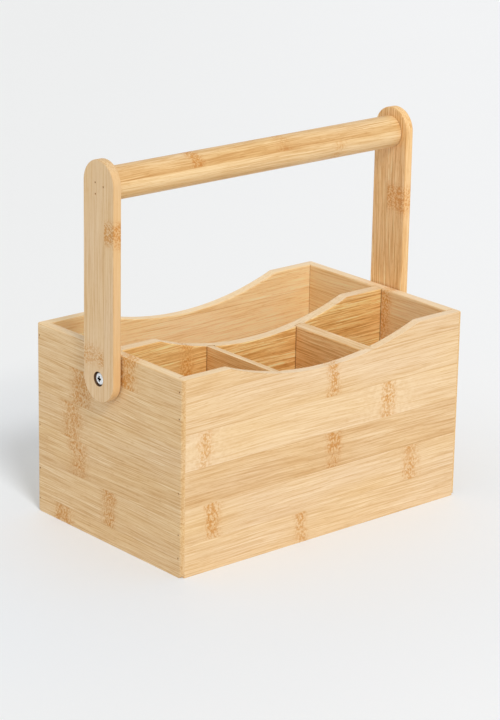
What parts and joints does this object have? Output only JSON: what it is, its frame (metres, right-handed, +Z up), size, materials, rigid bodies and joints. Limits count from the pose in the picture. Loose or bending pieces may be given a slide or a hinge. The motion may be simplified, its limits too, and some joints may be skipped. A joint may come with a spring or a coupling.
{
  "type": "utensil caddy",
  "caption": "Open rectangular caddy with scooped long walls, dividers forming compartments, and a round grip bar on side arms that swing down.",
  "frame": {"origin": "middle of the box's footprint, on the surface it stands on", "axes": "+X along the long walls to the right end, +Y from the front wall with the short compartments to the back wall, +Z up"},
  "size_m": [0.2758, 0.1646, 0.2777],
  "materials": {
    "bamboo_wall": "satin lacquered laminated bamboo",
    "bamboo_inside": "satin lacquered laminated bamboo",
    "bamboo_handle": "satin lacquered laminated bamboo",
    "bright_steel": "bright zinc plated",
    "dark_steel": "wire brad, dull"
  },
  "bodies": {
    "box": {"front_panel": "bamboo_wall", "back_panel": "bamboo_wall", "left_end_panel": "bamboo_wall", "right_end_panel": "bamboo_wall", "bottom_panel": "bamboo_inside", "middle_divider": "bamboo_inside", "left_cross_divider": "bamboo_inside", "right_cross_divider": "bamboo_inside", "left_pivot_screw": "bright_steel", "left_pivot_sleeve": "bright_steel", "left_pivot_washer": "bright_steel", "left_wall_brads": "dark_steel", "right_pivot_screw": "bright_steel", "right_pivot_sleeve": "bright_steel", "right_pivot_washer": "bright_steel", "right_wall_brads": "dark_steel"},
    "handle": {"left_handle_arm": "bamboo_handle", "right_handle_arm": "bamboo_handle", "handle_grip": "bamboo_handle", "left_grip_brads": "dark_steel", "right_grip_brads": "dark_steel"}
  },
  "joints": [
    {"name": "handle_swing", "type": "hinge", "parent": "box", "child": "handle", "pos_m": [0, 0, 0.1233], "axis": [1, 0, 0], "range_deg": [-135.5, 135.5]}
  ]
}
